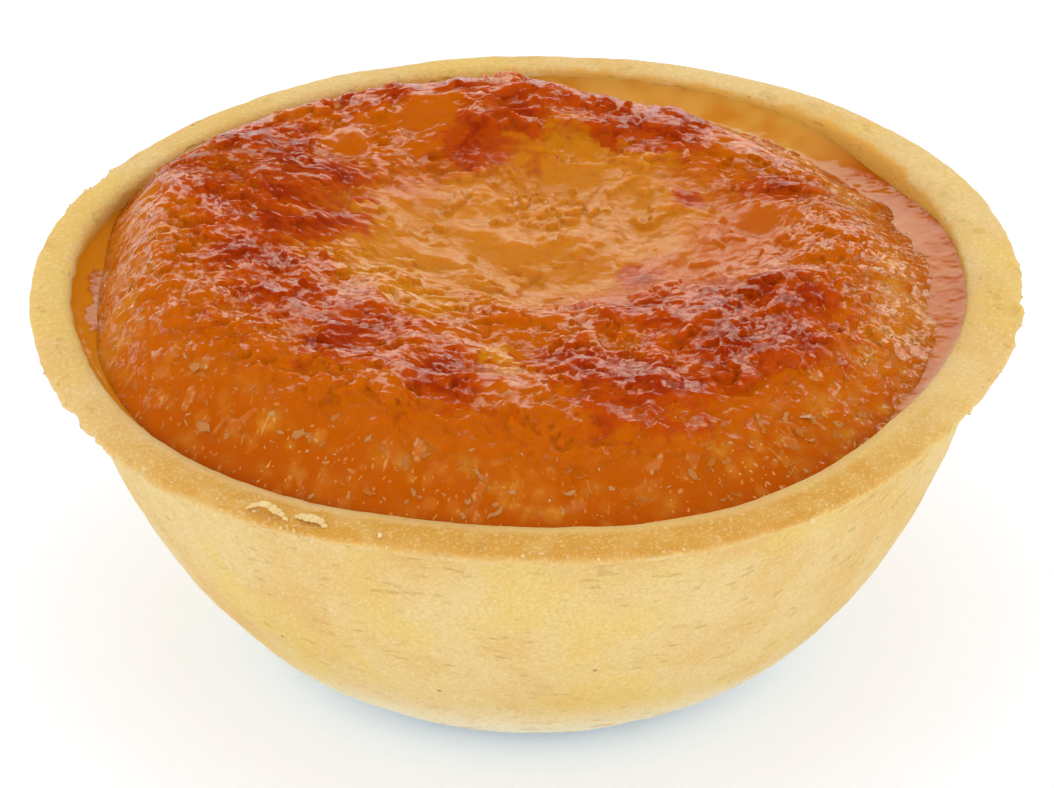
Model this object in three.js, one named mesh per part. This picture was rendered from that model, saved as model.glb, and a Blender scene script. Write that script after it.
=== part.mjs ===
// An orange tartlet: a deep bowl of shortcrust pastry with a thick flat rim, filled with a domed mass
// of set orange pulp that has sunk in the middle, with a narrow ring of clear orange syrup round it.
//
// Millimetres, +Z up. The origin is the middle of the underside. -Y is the side nearest the viewer.

import * as THREE from "three";
import { mergeVertices } from "three/addons/utils/BufferGeometryUtils.js";

// Pastry shell
const RIM_RADIUS = 38;
const SHELL_HEIGHT = 28.8;
const BASE_RADIUS = 13.4;
const FLOOR_THICKNESS = 3.6;
const LIP_HEIGHT = 1.9; // of the slanting underside of the rim, which stands proud of the wall
const LIP_OVERHANG = 2.6;
const RIM_DROP = 0.6; // the rim's top falls this much from its crest to its outer edge
const RIM_WIDTH = 3.9;
const RIM_ROUNDING = 0.4; // of the rim's inner edge
const WALL_FLARE = THREE.MathUtils.degToRad(16.8); // of the wall from upright, just under the lip
const BOWL_REACH = 9.8; // how far the bowl's bottom curve runs level past the base
const WALL_REACH = 13.9; // how far the wall runs straight below the lip
const INSIDE_INSET = 1.2; // the hollow's curves are this much tighter than the bowl's
const HOLLOW_MIDDLE = new THREE.Vector2(-0.55, 0.4); // a little off centre, so the rim varies in width

// Orange filling
const SYRUP_DROP = 2; // the syrup's level below the rim's crest
const SYRUP_LEVEL = SHELL_HEIGHT - SYRUP_DROP;
const FOOT_CENTRE = new THREE.Vector2(-0.6, 0.1); // where the dome of pulp meets the syrup's level
const FOOT_RADIUS = 31.9;
// The foot swells towards the rim at the back left and all along the front, as
// [angle in degrees, size in mm, spread in radians].
const FOOT_BULGES = [[150, 3.4, 0.34], [182, 0.4, 0.3], [212, 2.8, 0.42], [255, 1.4, 0.4], [292, 3.8, 0.5]];
const TOP_CENTRE = new THREE.Vector2(-4.05, 2.2); // the dome's top leans to the left and the back
const TOP_RADIUS = 24;
const TOP_HEIGHT = 6; // of the dome's ridge above the syrup
const TOP_TILT = 1.25; // how much higher the ridge is on its high side
const TOP_TILT_ANGLE = THREE.MathUtils.degToRad(230);
const SIDE_ROUNDING = 1.6; // how strongly the dome's side rounds over into its top
const SUNKEN_CENTRE = new THREE.Vector2(1.85, 5.4); // the middle of the dome sank in the oven
const SUNKEN_RADII = new THREE.Vector2(20, 14.5);
const SUNKEN_DEPTH = 2.8;
const SUNKEN_FLOOR = 0.3; // the sunken middle is level out to this share of its radii
const SUNKEN_BRINK = 1.2; // and it ends at this share of them
const CRAG_SIZES = [7.5, 3.8]; // widths of the coarse and fine crags in the browned top
const CRAG_HEIGHTS = [0.9, 0.5];
const CRAG_SETTING = 4.5; // the crags fade out this far below the ridge, towards the syrup
const SYRUP_LEAST_DEPTH = 0.5;
const EDGE_DEPTH = 2; // the pulp's edge lies this far under the syrup's level
const LEAST_LEDGE = 0.35;
const GAP = 0.3; // between touching pieces

// Fineness of the solids
const SEGMENTS = 72;
const WALL_STEPS = 12;
const RIM_STEPS = 9;
const INSIDE_STEPS = 8;
const SHORE_RINGS = 4;
const TOP_RINGS = 25;
const CURVE_SAMPLES = 200;
const SEARCH_STEP = 0.02;

const { smoothstep, clamp, lerp, degToRad } = THREE.MathUtils;

// Handmade unevenness: slow waves round the rim, as [waves per turn, size in mm, angle of a crest].
const RADIUS_WAVES = [[2, 0.31, 0.93], [3, 0.95, 0.96], [4, 0.31, 0.32], [5, 0.41, 0.13], [6, 0.16, -0.19]];
const HEIGHT_WAVES = [[1, 0.08, -2.6], [2, 0.6, -0.92], [3, 0.25, 0.71], [4, 0.22, 0.49]];

function waves(table, angle) {
  return table.reduce((sum, [count, size, crest]) => sum + size * Math.cos(count * (angle - crest)), 0);
}

// Moves a point of the turned form to where the handmade one has it. The base stays flat and round.
function uneven(point) {
  const angle = Math.atan2(point.y, point.x);
  const radius = Math.hypot(point.x, point.y);
  const share = clamp(point.z / SHELL_HEIGHT, 0, 1);
  const stretched = radius + share * waves(RADIUS_WAVES, angle) * (radius / RIM_RADIUS);
  const lifted = point.z + share * waves(HEIGHT_WAVES, angle) * (radius / RIM_RADIUS);
  return point.set(stretched * Math.cos(angle), stretched * Math.sin(angle), lifted);
}

// Turns a profile of (radius, height) points about Z, moves each point by place(point, index along the
// profile), and closes the seam and the poles.
function turned(profile, place) {
  const geometry = new THREE.LatheGeometry(profile, SEGMENTS).rotateX(Math.PI / 2);
  const positions = geometry.getAttribute("position");
  const point = new THREE.Vector3();
  for (let i = 0; i < positions.count; i++) {
    point.fromBufferAttribute(positions, i);
    place(point, i % profile.length);
    positions.setXYZ(i, point.x, point.y, point.z);
  }
  return closed(geometry);
}

// The geometry with its shared vertices merged and the triangles that collapsed at the poles left out.
function closed(geometry) {
  geometry.deleteAttribute("normal");
  geometry.deleteAttribute("uv");
  const merged = mergeVertices(geometry, 1e-3);
  const kept = [];
  for (let i = 0; i < merged.index.count; i += 3) {
    const corners = [0, 1, 2].map((k) => merged.index.getX(i + k));
    if (new Set(corners).size === 3) kept.push(...corners);
  }
  merged.setIndex(kept);
  merged.computeVertexNormals();
  return merged;
}

function solid(name, geometry, finish) {
  const mesh = new THREE.Mesh(geometry, new THREE.MeshStandardMaterial(finish));
  mesh.name = name;
  return mesh;
}

// A curve through (radius, height) that leaves its first end level and reaches its last end at the
// wall's flare.
function bowlCurve(inner, outer, reachLevel, reachUp) {
  return new THREE.CubicBezierCurve(
    inner,
    new THREE.Vector2(inner.x + reachLevel, inner.y),
    new THREE.Vector2(outer.x - reachUp * Math.sin(WALL_FLARE), outer.y - reachUp * Math.cos(WALL_FLARE)),
    outer,
  );
}

// The shell's section: a bowl, a lip that slants out from it, a flat rim that falls a little from its
// inner edge, and the hollow inside.
const wallTop = new THREE.Vector2(RIM_RADIUS - LIP_OVERHANG, SHELL_HEIGHT - RIM_DROP - LIP_HEIGHT);
const insideTop = new THREE.Vector2(RIM_RADIUS - RIM_WIDTH, SHELL_HEIGHT - RIM_ROUNDING);
const insideFloor = new THREE.Vector2(BASE_RADIUS - INSIDE_INSET, FLOOR_THICKNESS);
const outsideCurve = bowlCurve(new THREE.Vector2(BASE_RADIUS, 0), wallTop, BOWL_REACH, WALL_REACH);
const insideCurve = bowlCurve(
  insideFloor,
  insideTop,
  BOWL_REACH - INSIDE_INSET,
  WALL_REACH - INSIDE_INSET,
);

function rimOutline() {
  const edge = SHELL_HEIGHT - RIM_DROP;
  const outline = new THREE.SplineCurve([
    new THREE.Vector2(wallTop.x + 0.6 * LIP_OVERHANG, wallTop.y + 0.35 * LIP_HEIGHT),
    new THREE.Vector2(RIM_RADIUS - 0.1, wallTop.y + 0.7 * LIP_HEIGHT),
    new THREE.Vector2(RIM_RADIUS - 0.05, edge - 0.15),
    new THREE.Vector2(RIM_RADIUS - 0.12 * RIM_WIDTH, edge + 0.2 * RIM_DROP),
    new THREE.Vector2(RIM_RADIUS - 0.4 * RIM_WIDTH, edge + 0.75 * RIM_DROP),
    new THREE.Vector2(insideTop.x + 2.2 * RIM_ROUNDING, SHELL_HEIGHT),
    new THREE.Vector2(insideTop.x + 0.7 * RIM_ROUNDING, SHELL_HEIGHT - 0.15 * RIM_ROUNDING),
  ]);
  return outline.getPoints(RIM_STEPS);
}

// Shifts a point with the hollow: wholly inside it, not at all outside, and in between across the rim.
function shiftInside(point, share = 1) {
  point.x += HOLLOW_MIDDLE.x * share;
  point.y += HOLLOW_MIDDLE.y * share;
  return point;
}

function pastryShell() {
  const wall = [new THREE.Vector2(0, 0), ...outsideCurve.getPoints(WALL_STEPS)];
  const rim = rimOutline();
  const inside = [...insideCurve.getPoints(INSIDE_STEPS).reverse(), new THREE.Vector2(0, FLOOR_THICKNESS)];
  const geometry = turned([...wall, ...rim, ...inside], (point, index) => {
    const across = (RIM_RADIUS - Math.hypot(point.x, point.y)) / RIM_WIDTH;
    const share = index < wall.length ? 0 : clamp(across, 0, 1);
    uneven(shiftInside(point, share));
  });
  return solid("pastry_shell", geometry, { color: 0xe8c87e, roughness: 0.88, metalness: 0 });
}

// The hollow's radius at a height, read from its curve.
function insideRadius(height) {
  const points = insideCurve.getPoints(CURVE_SAMPLES);
  const above = points.findIndex((p) => p.y >= height);
  const [a, b] = [points[above - 1], points[above]];
  return lerp(a.x, b.x, (height - a.y) / (b.y - a.y));
}

// A seeded height for each corner of a square lattice, and a smooth blend between corners.
function latticeValue(i, j) {
  const s = Math.sin(i * 127.1 + j * 311.7) * 43758.5453;
  return s - Math.floor(s);
}

function smoothNoise(x, y) {
  const [i, j] = [Math.floor(x), Math.floor(y)];
  const [u, v] = [smoothstep(x - i, 0, 1), smoothstep(y - j, 0, 1)];
  const near = lerp(latticeValue(i, j), latticeValue(i + 1, j), u);
  const far = lerp(latticeValue(i, j + 1), latticeValue(i + 1, j + 1), u);
  return lerp(near, far, v);
}

// Crags with sharp crests, centred on zero.
function crags(x, y) {
  return CRAG_SIZES.reduce((sum, size, k) => {
    const crest = 1 - Math.abs(2 * smoothNoise(x / size + 31 * k, y / size - 17 * k) - 1);
    return sum + CRAG_HEIGHTS[k] * (crest - 0.5);
  }, 0);
}

// How far along a level line from the top's centre the dome's foot lies.
function footReach(direction) {
  const offset = TOP_CENTRE.clone().sub(FOOT_CENTRE);
  const along = offset.dot(direction);
  const reach = -along + Math.sqrt(along * along - offset.lengthSq() + FOOT_RADIUS * FOOT_RADIUS);
  return FOOT_BULGES.reduce((sum, [degrees, size, spread]) => {
    const angle = degToRad(degrees);
    const away = Math.acos(clamp(direction.x * Math.cos(angle) + direction.y * Math.sin(angle), -1, 1));
    return sum + size * Math.exp(-((away / spread) ** 2));
  }, reach);
}

// The height of the pulp's top: a rounded side up from the foot, a ridge, and a sunken middle.
function pulpHeight(x, y) {
  const out = new THREE.Vector2(x, y).sub(TOP_CENTRE);
  const distance = out.length();
  const angle = Math.atan2(out.y, out.x);
  const foot = footReach(distance > 0 ? out.clone().divideScalar(distance) : new THREE.Vector2(1, 0));
  const climb = (foot - distance) / (foot - TOP_RADIUS);
  const rounded = climb > 0 ? 1 - (1 - Math.min(climb, 1)) ** SIDE_ROUNDING : SIDE_ROUNDING * climb;
  const tilt = TOP_TILT * Math.cos(angle - TOP_TILT_ANGLE) * Math.min(distance / TOP_RADIUS, 1);
  const dome = (TOP_HEIGHT + tilt) * rounded;
  const fromSunken = new THREE.Vector2(x, y).sub(SUNKEN_CENTRE).divide(SUNKEN_RADII);
  const sunken = SUNKEN_DEPTH * (1 - smoothstep(fromSunken.length(), SUNKEN_FLOOR, SUNKEN_BRINK));
  const craggy = smoothstep(dome, TOP_HEIGHT - CRAG_SETTING, TOP_HEIGHT);
  return SYRUP_LEVEL + dome - sunken + craggy * crags(x, y);
}

// The pulp's edge lies against the hollow, under the syrup, and the syrup ends where it is too shallow.
const EDGE_HEIGHT = SYRUP_LEVEL - EDGE_DEPTH;
const SHORE_HEIGHT = SYRUP_LEVEL - SYRUP_LEAST_DEPTH - GAP;

// The hollow's reach from its own middle, on the uneven shell. The wall that ends up at this height was
// as much lower as the waves have lifted it.
function hollowReach(direction, height) {
  const place = (at) => {
    const radius = insideRadius(at);
    return uneven(shiftInside(new THREE.Vector3(direction.x * radius, direction.y * radius, at)));
  };
  const point = place(2 * height - place(height).z);
  return Math.hypot(point.x - HOLLOW_MIDDLE.x, point.y - HOLLOW_MIDDLE.y);
}

function fromHollowMiddle(direction, radius) {
  return new THREE.Vector2(direction.x * radius, direction.y * radius).add(HOLLOW_MIDDLE);
}

// The outermost points of the pulp's top in one direction, as (radius, height) from the hollow's middle:
// its edge at the wall, its toe where the dome starts to rise, the inner edge of the syrup, and the dome
// just inside that.
function pulpShore(direction) {
  const heightAt = (radius) => {
    const { x, y } = fromHollowMiddle(direction, radius);
    return clamp(pulpHeight(x, y), EDGE_HEIGHT, SHORE_HEIGHT);
  };
  const inwardTo = (height, start) => {
    let radius = start;
    while (heightAt(radius) < height) radius -= SEARCH_STEP;
    return radius;
  };
  const edge = hollowReach(direction, EDGE_HEIGHT) - GAP;
  const toe = Math.min(inwardTo(EDGE_HEIGHT + SEARCH_STEP, edge), edge - LEAST_LEDGE);
  const shore = Math.min(inwardTo(SHORE_HEIGHT, edge), toe - LEAST_LEDGE);
  const under = [edge, toe, shore].map((radius) => new THREE.Vector2(radius, heightAt(radius)));
  const { x, y } = fromHollowMiddle(direction, shore - LEAST_LEDGE);
  return [...under, new THREE.Vector2(shore - LEAST_LEDGE, pulpHeight(x, y))];
}

function orangeFilling() {
  const against = insideCurve.getPoints(INSIDE_STEPS).filter((p) => p.y < EDGE_HEIGHT - 2 * GAP);
  const bottom = [
    new THREE.Vector2(0, FLOOR_THICKNESS + GAP),
    ...against.map((p) => new THREE.Vector2(p.x - GAP, p.y + GAP)),
  ];
  const ringCount = SHORE_RINGS + TOP_RINGS;
  const top = Array.from({ length: ringCount }, (_, ring) => new THREE.Vector2(ringCount - 1 - ring, 0));
  const geometry = turned([...bottom, ...top], (point, index) => {
    if (index < bottom.length) return uneven(shiftInside(point));
    const ring = index - bottom.length;
    const direction = new THREE.Vector2(point.x, point.y).normalize();
    const shore = pulpShore(direction);
    const inward = (ring - SHORE_RINGS + 1) / TOP_RINGS;
    const radius = ring < SHORE_RINGS ? shore[ring].x : shore.at(-1).x * (1 - inward);
    const { x, y } = fromHollowMiddle(direction, radius);
    return point.set(x, y, ring < SHORE_RINGS ? shore[ring].y : pulpHeight(x, y));
  });
  return solid("orange_filling", geometry, { color: 0xbe5c08, roughness: 0.32, metalness: 0 });
}

// A ring of syrup with a level top. Its underside lies on the pulp's shore, and its outside on the shell.
function syrupRing() {
  const section = Array.from({ length: 6 }, (_, corner) => new THREE.Vector2(1, corner));
  const geometry = turned(section, (point, index) => {
    const direction = new THREE.Vector2(point.x, point.y).normalize();
    const [edge, toe, shore] = pulpShore(direction).map(({ x, y }) => new THREE.Vector2(x, y + GAP));
    const wall = new THREE.Vector2(hollowReach(direction, SYRUP_LEVEL) - GAP, SYRUP_LEVEL);
    const inner = new THREE.Vector2(shore.x, SYRUP_LEVEL);
    const corner = [shore, toe, edge, wall, inner, shore][index];
    const { x, y } = fromHollowMiddle(direction, corner.x);
    point.set(x, y, corner.y);
  });
  return solid("syrup_ring", geometry, { color: 0xc86a0c, roughness: 0.12, metalness: 0 });
}

const tartlet = new THREE.Group();
tartlet.name = "orange_tartlet";
tartlet.add(pastryShell(), orangeFilling(), syrupRing());

export default tartlet;
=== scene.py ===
import math

import bpy
import numpy as np
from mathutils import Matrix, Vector


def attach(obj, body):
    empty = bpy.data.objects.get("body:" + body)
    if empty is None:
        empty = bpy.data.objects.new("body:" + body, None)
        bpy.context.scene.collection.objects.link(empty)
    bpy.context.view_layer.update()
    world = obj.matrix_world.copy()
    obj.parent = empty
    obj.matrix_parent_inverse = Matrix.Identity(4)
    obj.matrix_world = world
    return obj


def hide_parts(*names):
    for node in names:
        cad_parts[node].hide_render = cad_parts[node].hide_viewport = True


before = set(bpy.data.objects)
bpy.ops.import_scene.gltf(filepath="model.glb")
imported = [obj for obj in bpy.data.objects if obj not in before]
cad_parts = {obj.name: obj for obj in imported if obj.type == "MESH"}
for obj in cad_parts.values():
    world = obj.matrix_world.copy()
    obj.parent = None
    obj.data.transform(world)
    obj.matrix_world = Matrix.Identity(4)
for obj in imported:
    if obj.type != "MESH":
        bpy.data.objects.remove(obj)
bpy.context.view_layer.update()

# Pastry shell
# A deep bowl of pale shortcrust, pressed by hand into a round tin and baked. Its thick rim slants out over
# the wall in a small lip, browned on top and crumbly at its outer edge, and syrup has soaked its inside.
MM = 0.001
RIM_RADIUS = 38
SHELL_HEIGHT = 28.8
BASE_RADIUS = 13.4
FLOOR_THICKNESS = 3.6
LIP_HEIGHT = 1.9
LIP_OVERHANG = 2.6
RIM_DROP = 0.6
RIM_WIDTH = 3.9
RIM_ROUNDING = 0.4
WALL_FLARE = math.radians(16.8)
BOWL_REACH = 9.8
WALL_REACH = 13.9
INSIDE_INSET = 1.2
HOLLOW_MIDDLE = (-0.55, 0.4)
# Waves round the rim: how many, how high, where a crest lies.
RADIUS_WAVES = ((2, 0.31, 0.93), (3, 0.95, 0.96), (4, 0.31, 0.32), (5, 0.41, 0.13), (6, 0.16, -0.19))
HEIGHT_WAVES = ((1, 0.08, -2.6), (2, 0.6, -0.92), (3, 0.25, 0.71), (4, 0.22, 0.49))
SHELL_SEGMENTS = 640
SECTION_STEP = 0.05
SOFTENING = 6
# Swells of the dough: height, width, seed.
UNEVENNESS = ((0.13, 9.0, 1), (0.07, 3.6, 2), (0.035, 1.5, 3), (0.03, 0.8, 6))
CRUMBLED_WIDTH = 0.8
SHREDS_BEARING = 239.5
SHALLOWEST_HIDDEN = 24
# Crumbled stretches of the edge: bearing, spread, depth.
ROUGH_ARCS = ((154, 6, 0.5), (205, 9, 0.4), (219, 6, 0.5), (239, 6, 0.25), (-3, 9, 0.3), (330, 12, 0.15))


def hand_waves(table, angle):
    return sum(size * np.cos(count * (angle - crest)) for count, size, crest in table)


def pressed_unevenly(points):
    angle = np.arctan2(points[..., 1], points[..., 0])
    radius = np.hypot(points[..., 0], points[..., 1])
    share = np.clip(points[..., 2] / SHELL_HEIGHT, 0, 1) * radius / RIM_RADIUS
    stretched = radius + share * hand_waves(RADIUS_WAVES, angle)
    lifted = points[..., 2] + share * hand_waves(HEIGHT_WAVES, angle)
    return np.stack((stretched * np.cos(angle), stretched * np.sin(angle), lifted), axis=-1)


def bowl_curve(inner, outer, reach_level, reach_up):
    t = np.linspace(0, 1, 300)[:, None]
    level = inner + np.array((reach_level, 0))
    upright = outer - reach_up * np.array((math.sin(WALL_FLARE), math.cos(WALL_FLARE)))
    curve = (1 - t) ** 3 * inner + 3 * (1 - t) ** 2 * t * level
    return curve + 3 * (1 - t) * t**2 * upright + t**3 * outer


def smooth_through(points):
    padded = np.vstack((points[:1], points, points[-1:]))
    t = np.linspace(0, 1, 40, endpoint=False)[:, None]
    spans = []
    for before, start, end, after in zip(padded, padded[1:], padded[2:], padded[3:]):
        hold = (2 * t**3 - 3 * t**2 + 1) * start + (3 * t**2 - 2 * t**3) * end
        turn = (t**3 - 2 * t**2 + t) * (end - before) / 2 + (t**3 - t**2) * (after - start) / 2
        spans.append(hold + turn)
    return np.vstack(spans + [points[-1:]])


def spaced(path, step):
    lengths = np.hypot(*np.diff(path, axis=0).T)
    travelled = np.concatenate(([0], np.cumsum(lengths)))
    count = max(2, round(travelled[-1] / step) + 1)
    stops = np.linspace(0, travelled[-1], count)
    return np.stack([np.interp(stops, travelled, path[:, axis]) for axis in (0, 1)], axis=1)


def ease(value, low, high):
    share = np.clip((value - low) / (high - low), 0, 1)
    return share * share * (3 - 2 * share)


def bell(value, middle, spread):
    return np.exp(-(((value - middle) / spread) ** 2))


def swell(points, size, seed):
    scaled = points / size
    cell = np.floor(scaled).astype(np.int64)
    part = scaled - cell
    part = part * part * (3 - 2 * part)
    total = np.zeros(points.shape[:-1])
    for corner in np.ndindex(2, 2, 2):
        share = np.prod(np.where(corner, part, 1 - part), axis=-1)
        mixed = (cell + corner) @ np.array((73856093, 19349663, 83492791)) + seed * 2654435761
        mixed = (mixed ^ (mixed >> 13)) * 1274126177
        mixed = mixed ^ (mixed >> 16)
        total += share * ((mixed & 65535) / 32767.5 - 1)
    return total


def skinned(name, points, faces):
    mesh = bpy.data.meshes.new(name)
    mesh.from_pydata((np.asarray(points) * MM).tolist(), [], faces)
    mesh.validate()
    mesh.shade_smooth()
    piece = bpy.data.objects.new(name, mesh)
    bpy.context.scene.collection.objects.link(piece)
    return piece


def joined(*corners):
    return np.stack(corners, axis=1).tolist()


def tinted(piece, name, values):
    layer = piece.data.attributes.new(name, "FLOAT", "POINT")
    layer.data.foreach_set("value", np.asarray(values, np.float32).ravel())


def blank(name):
    made = bpy.data.materials.new(name)
    made.use_nodes = True
    made.node_tree.nodes.clear()
    return made


# Nodes go into the tree in hand.
def put(kind, sockets, output=0, **settings):
    made = tree.nodes.new("ShaderNode" + kind)
    for setting, value in settings.items():
        setattr(made, setting, value)
    for socket, value in sockets.items():
        if isinstance(value, bpy.types.NodeSocket):
            tree.links.new(value, made.inputs[socket])
        else:
            made.inputs[socket].default_value = value
    return made.outputs[output] if made.outputs else made


def sums(kind, first, second):
    return put("Math", {0: first, 1: second}, operation=kind)


def plus(first, second):
    return sums("ADD", first, second)


def times(first, second):
    return sums("MULTIPLY", first, second)


def eased(value, low, high, start=0.0, end=1.0):
    sockets = {"Value": value, "From Min": low, "From Max": high, "To Min": start, "To Max": end}
    return put("MapRange", sockets, interpolation_type="SMOOTHSTEP")


# Each coat of colour covers a share of what lies under it.
def layered(colour, coats):
    for share, over in coats:
        sockets = {0: share}
        for socket, part in ((6, colour), (7, over)):
            sockets[socket] = (*part, 1) if isinstance(part, tuple) else part
        colour = put("Mix", sockets, output=2, data_type="RGBA")
    return colour


def tint(name):
    return put("Attribute", {}, output=2, attribute_name=name)


def mottle(place, scale, detail=3.0):
    return put("TexNoise", {"Vector": place, "Scale": scale, "Detail": detail})


def sprinkled(place, scale, reach, least_draw, layout="3D"):
    spots = put("TexVoronoi", {"Vector": place, "Scale": scale}, voronoi_dimensions=layout)
    picked = put("SeparateColor", {"Color": spots.node.outputs["Color"]})
    within = eased(spots, 0.4 * reach, reach, 1.0, 0.0)
    return times(within, eased(picked, least_draw, least_draw + 0.02))


def covered(piece, material, finish):
    put("OutputMaterial", {"Surface": put("BsdfPrincipled", finish)})
    piece.data.materials.append(material)


wall_top = np.array((RIM_RADIUS - LIP_OVERHANG, SHELL_HEIGHT - RIM_DROP - LIP_HEIGHT))
inside_top = np.array((RIM_RADIUS - RIM_WIDTH, SHELL_HEIGHT - RIM_ROUNDING))
inside_floor = np.array((BASE_RADIUS - INSIDE_INSET, FLOOR_THICKNESS))
outside_curve = bowl_curve(np.array((BASE_RADIUS, 0.0)), wall_top, BOWL_REACH, WALL_REACH)
inside_curve = bowl_curve(inside_floor, inside_top, BOWL_REACH - INSIDE_INSET, WALL_REACH - INSIDE_INSET)
rim_edge = SHELL_HEIGHT - RIM_DROP
rim_curve = smooth_through(np.array((
    (wall_top[0] + 0.6 * LIP_OVERHANG, wall_top[1] + 0.35 * LIP_HEIGHT),
    (RIM_RADIUS - 0.1, wall_top[1] + 0.7 * LIP_HEIGHT),
    (RIM_RADIUS - 0.05, rim_edge - 0.15),
    (RIM_RADIUS - 0.12 * RIM_WIDTH, rim_edge + 0.2 * RIM_DROP),
    (RIM_RADIUS - 0.4 * RIM_WIDTH, rim_edge + 0.75 * RIM_DROP),
    (inside_top[0] + 2.2 * RIM_ROUNDING, SHELL_HEIGHT),
    (inside_top[0] + 0.7 * RIM_ROUNDING, SHELL_HEIGHT - 0.15 * RIM_ROUNDING),
)))

# The section is softened a little, as dough is, and sampled finely where it shows.
section = spaced(np.vstack((outside_curve, rim_curve, inside_curve[::-1])), SECTION_STEP)
softening_reach = 3 * SOFTENING
softening = np.exp(-0.5 * (np.arange(-softening_reach, softening_reach + 1) / SOFTENING) ** 2)
softening /= softening.sum()
for axis in (0, 1):
    held = np.pad(section[:, axis], softening_reach, mode="edge")
    section[:, axis] = np.convolve(held, softening, mode="valid")
section[0] = (BASE_RADIUS, 0)
section[:, 1] = np.maximum(section[:, 1], 0)
outermost = int(np.argmax(section[:, 0]))
lip_start = int(np.argmin(np.hypot(*(section - wall_top).T))) - 12
turned_in = outermost + int(np.argmin(np.hypot(*(section[outermost:] - inside_top).T)))
shallow = turned_in + int(np.argmax(section[turned_in:, 1] < SHALLOWEST_HIDDEN))
profile = np.vstack((
    np.stack((np.linspace(0, BASE_RADIUS, 8)[:-1], np.zeros(7)), axis=1),
    spaced(section[:lip_start + 1], 0.42)[:-1],
    spaced(section[lip_start:turned_in + 1], 0.25)[:-1],
    spaced(section[turned_in:shallow + 1], 0.4)[:-1],
    spaced(section[shallow:], 3.0),
    ((0, FLOOR_THICKNESS),),
))
profile_outermost = int(np.argmax(profile[:, 0]))
steps_in = np.arange(len(profile))
across = np.clip((RIM_RADIUS - profile[:, 0]) / RIM_WIDTH, 0, 1)
shift = np.where(steps_in <= profile_outermost, 0, across)[:, None]
turn = np.arange(SHELL_SEGMENTS) * 2 * math.pi / SHELL_SEGMENTS
shell = np.stack((
    profile[:, :1] * np.cos(turn) + HOLLOW_MIDDLE[0] * shift,
    profile[:, :1] * np.sin(turn) + HOLLOW_MIDDLE[1] * shift,
    np.repeat(profile[:, 1:], SHELL_SEGMENTS, axis=1),
), axis=-1)
shell = pressed_unevenly(shell)

# Dough swells and dips a little all over, and its outer edge has crumbled away in places.
slant = np.gradient(shell, axis=0)
round_about = np.roll(shell, -1, axis=1) - np.roll(shell, 1, axis=1)
shell_out = np.cross(round_about, slant)
shell_out /= np.maximum(np.linalg.norm(shell_out, axis=-1, keepdims=True), 1e-9)
shows = (steps_in <= profile_outermost) | (profile[:, 1] > 25)
uneven_share = (ease(profile[:, 1], 0.1, 2.5) * shows)[:, None]
uneven = sum(depth * swell(shell, size, seed) for depth, size, seed in UNEVENNESS)
shell = shell + shell_out * (uneven * uneven_share)[..., None]
edge_run = np.concatenate(([0], np.cumsum(np.hypot(*np.diff(profile, axis=0).T))))
rim_fall = (edge_run - edge_run[profile_outermost])[:, None]
edge_share = bell(rim_fall, 0, CRUMBLED_WIDTH)
roughness = np.full(SHELL_SEGMENTS, 0.1)
for middle, spread, depth in ROUGH_ARCS:
    away = (np.degrees(turn) - middle + 180) % 360 - 180
    roughness += depth * bell(away, 0, spread)
bites = np.maximum(swell(shell, 1.3, 4) + 0.6 * swell(shell, 0.7, 5), -0.3)
sideways = np.stack((np.cos(turn), np.sin(turn), np.zeros_like(turn)), axis=-1)
shell = shell - sideways * (edge_share * roughness * bites)[..., None]
shell[:, :, 2] = np.maximum(shell[:, :, 2], 0)

ring_count = len(profile)
shell_points = np.vstack((shell[0, :1], shell[1:-1].reshape(-1, 3), shell[-1, :1]))
ring_start = 1 + np.arange(ring_count - 2) * SHELL_SEGMENTS
here = np.arange(SHELL_SEGMENTS)
ahead = np.roll(here, -1)
shell_faces = [(0, int(b) + 1, int(a) + 1) for a, b in zip(here, ahead)]
for low, high in zip(ring_start, ring_start[1:]):
    shell_faces += joined(low + here, low + ahead, high + ahead, high + here)
last = len(shell_points) - 1
shell_faces += [(int(ring_start[-1] + a), int(ring_start[-1] + b), last) for a, b in zip(here, ahead)]
pastry = skinned("pastry_shell_crust", shell_points, shell_faces)

# The rim is toasted on top, most in front. Syrup has soaked its inner edge and steeped the wall below.
front_facing = ease(-np.sin(turn), 0.25, 0.85)[None, :]
on_top = ease(rim_fall, -0.2, 0.6) * (1 - ease(rim_fall, 2.5, 3.3))
# Under the two shreds the rim is darker tan.
darker_under_shreds = bell(np.degrees(turn), SHREDS_BEARING, 4.5)[None, :] * bell(rim_fall, 0.3, 0.6)
below_crest = SHELL_HEIGHT - profile[:, 1:]
inner_side = (steps_in > profile_outermost)[:, None] & (rim_fall > 3.0)
back_right = bell(turn, math.radians(55), 0.6)[None, :]
soaked = np.maximum(ease(below_crest, 0.05, 0.9), ease(rim_fall, 3.0, 4.3) * back_right)
soaked = inner_side * np.maximum(soaked, ease(rim_fall, 3.5, 4.3) * front_facing)
pastry_tints = {
    "toasted": on_top * (0.14 + 0.86 * front_facing) + 0.6 * darker_under_shreds,
    "soaked": soaked,
    "steeped": inner_side * ease(below_crest, 0.9, 2.4),
    # The band along the rim's inner edge, strongest in front, is painted darker: painted shade.
    "crest": bell(rim_fall, 3.5, 0.6) * (0.4 + 0.6 * front_facing),
    # Paler towards the foot of the wall: painted light, standing in for light thrown up by the table.
    "painted_light_low": 1 - ease(profile[:, 1:], 1.0, 9.0),
}
for name, values in pastry_tints.items():
    values = np.broadcast_to(values, shell.shape[:2])
    tinted(pastry, name, np.concatenate((values[0, :1], values[1:-1].ravel(), values[-1, :1])))

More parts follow.
